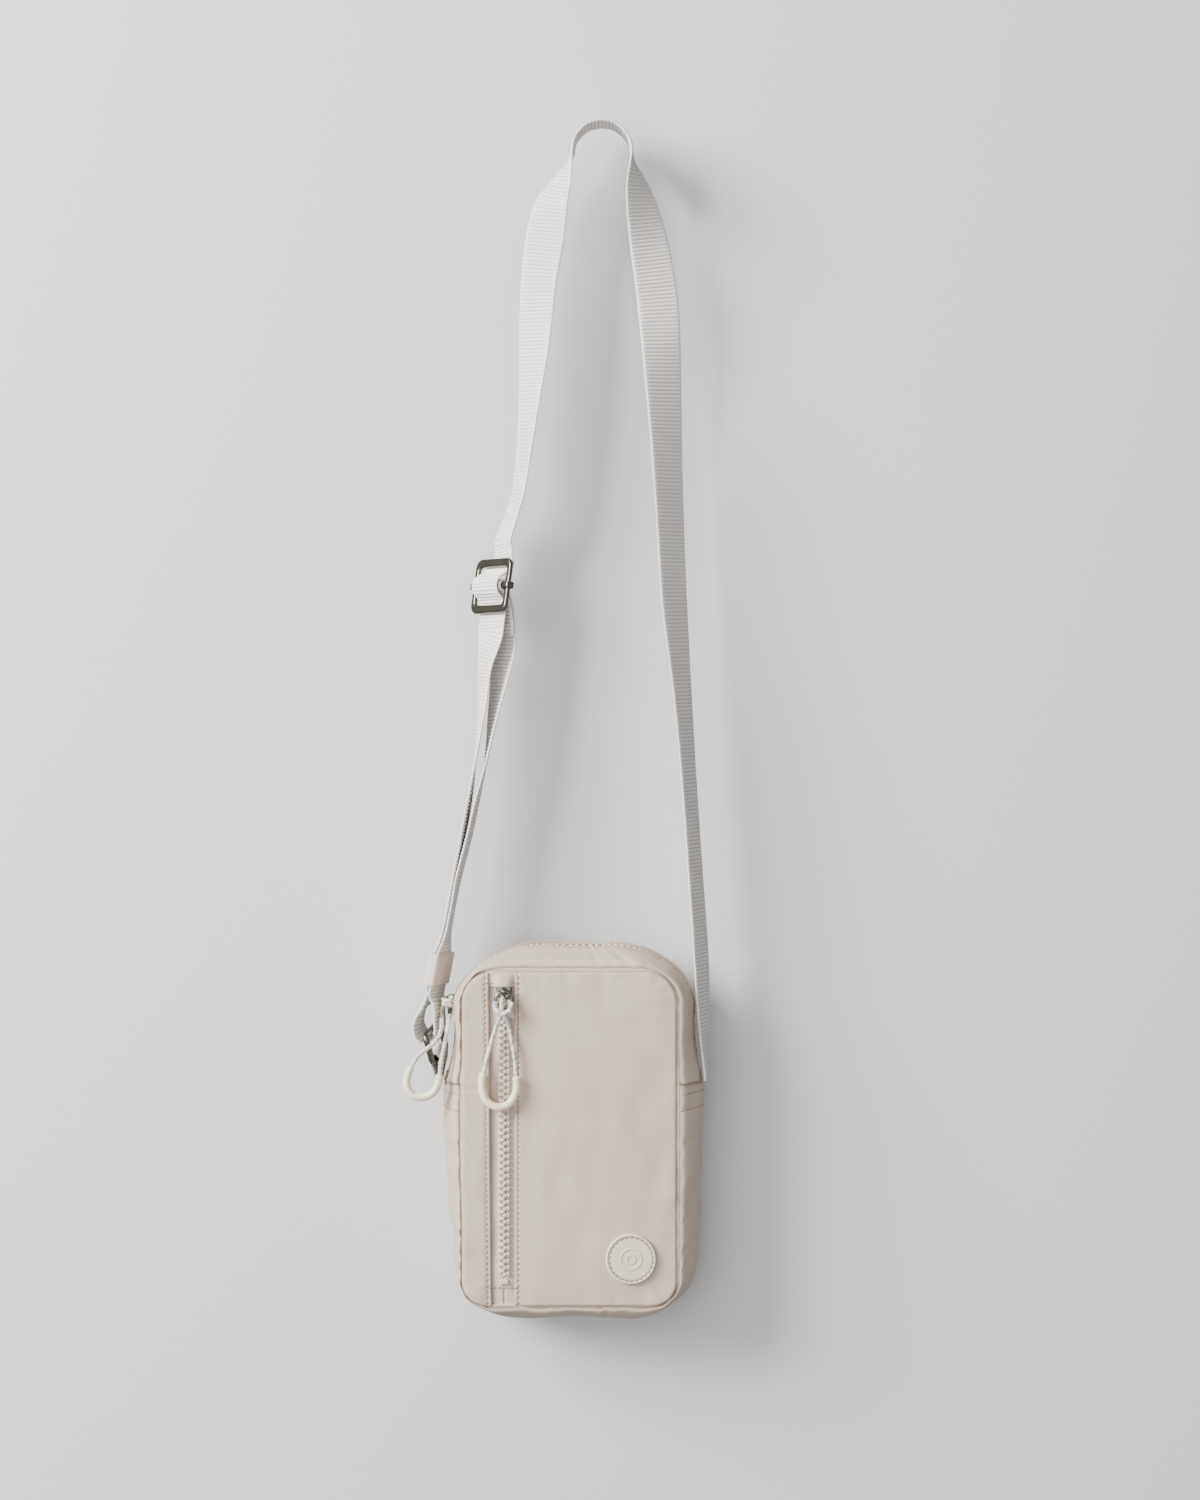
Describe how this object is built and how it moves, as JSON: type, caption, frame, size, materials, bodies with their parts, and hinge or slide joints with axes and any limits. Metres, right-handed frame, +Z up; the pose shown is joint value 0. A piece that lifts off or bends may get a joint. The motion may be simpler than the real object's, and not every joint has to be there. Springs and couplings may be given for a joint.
{
  "type": "camera bag",
  "caption": "Small upright padded camera bag with zipped front pocket and arched zip mouth, hanging from an adjustable webbing shoulder strap.",
  "frame": {"origin": "underside of the strap at the top of its arc, where a peg or shoulder carries it", "axes": "+Z up along the hanging strap, -Y out of the bag's front face, +X to the right seen from the front"},
  "size_m": [0.1681, 0.0526, 0.6565],
  "materials": {
    "shell_fabric": "closely woven greige nylon with a soft sheen",
    "webbing": "off-white ribbed webbing",
    "zip_tape": "woven beige pink tape with moulded teeth",
    "lining_fabric": "smooth lining cloth",
    "foam": "closed cell foam",
    "gunmetal": "glossy dark plated casting",
    "cord": "braided cream cord with blue-grey flecks",
    "grip": "smooth cream moulded tube",
    "patch": "matte off-white moulded disc"
  },
  "bodies": {
    "strap": {"strap_shoulder_run": "webbing", "strap_right_end": "webbing", "strap_left_run": "webbing", "strap_outer_run": "webbing", "strap_inner_run": "webbing", "strap_ring_loop": "webbing"},
    "bag": {"front_panel_left": "shell_fabric", "front_panel_right": "shell_fabric", "front_zip_garage": "shell_fabric", "lower_gusset": "shell_fabric", "zip_gusset_front": "shell_fabric", "zip_gusset_back": "shell_fabric", "back_panel": "shell_fabric", "back_foam_pad": "foam", "front_zip_half_left": "zip_tape", "front_zip_half_right": "zip_tape", "front_zip_bottom_stop": "gunmetal", "main_zip_half_front": "zip_tape", "main_zip_half_back": "zip_tape", "main_zip_end_left": "shell_fabric", "main_zip_end_right": "shell_fabric", "front_pocket_lining": "lining_fabric", "front_foam_pad": "foam", "main_lining": "lining_fabric", "rubber_patch": "patch", "side_tab": "webbing"},
    "front_slider": {"front_slider_body": "gunmetal"},
    "front_pull": {"front_pull_ring": "gunmetal", "front_pull_cord": "cord", "front_pull_grip": "grip"},
    "main_slider": {"main_slider_body": "gunmetal"},
    "main_pull": {"main_pull_ring": "gunmetal", "main_pull_cord": "cord", "main_pull_grip": "grip"},
    "side_ring": {"side_ring": "gunmetal"},
    "keeper": {"keeper_sleeve": "webbing"},
    "adjuster": {"adjuster_frame": "gunmetal"},
    "adjuster_bar": {"adjuster_sliding_bar": "gunmetal", "strap_over_bar": "webbing", "strap_sewn_end": "webbing"}
  },
  "joints": [
    {"name": "bag_tilt", "type": "hinge", "parent": "strap", "child": "bag", "pos_m": [-0.018, 0, -0.515], "axis": [1, 0, 0], "range_deg": [-12, 30], "deforming": ["strap_right_end", "strap_ring_loop", "side_tab"]},
    {"name": "front_zip_slide", "type": "slide", "parent": "bag", "child": "front_slider", "axis": [0, 0, -1], "range_m": [0, 0.14]},
    {"name": "front_pull_swing", "type": "hinge", "parent": "front_slider", "child": "front_pull", "pos_m": [-0.0532, -0.02655, -0.4735], "axis": [-1, 0, 0], "range_deg": [0, 150]},
    {"name": "main_zip_turn", "type": "hinge", "parent": "bag", "child": "main_slider", "pos_m": [-0.0486, -0.002, -0.482], "axis": [0, 1, 0], "range_deg": [0, 90]},
    {"name": "main_pull_swing", "type": "hinge", "parent": "main_slider", "child": "main_pull", "pos_m": [-0.0856, -0.002, -0.4823], "axis": [-1, 0, 0], "range_deg": [0, 48]},
    {"name": "side_ring_swing", "type": "hinge", "parent": "strap", "child": "side_ring", "pos_m": [-0.093, 0, -0.4967], "axis": [0, 1, 0], "range_deg": [-8, 15], "deforming": ["side_tab", "strap_ring_loop"]},
    {"name": "keeper_slide", "type": "slide", "parent": "strap", "child": "keeper", "axis": [0.1885, -0.0612, 0.9802], "range_m": [0, 0.04]},
    {"name": "adjuster_slide", "type": "slide", "parent": "strap", "child": "adjuster", "axis": [-0.131, 0, -0.9914], "range_m": [-0.03, 0.09], "deforming": ["strap_left_run", "strap_outer_run", "strap_inner_run"]},
    {"name": "adjuster_bar_slide", "type": "slide", "parent": "adjuster", "child": "adjuster_bar", "axis": [0.1302, 0.1017, 0.9863], "range_m": [-0.003, 0.003], "deforming": ["strap_over_bar", "strap_sewn_end"]}
  ]
}
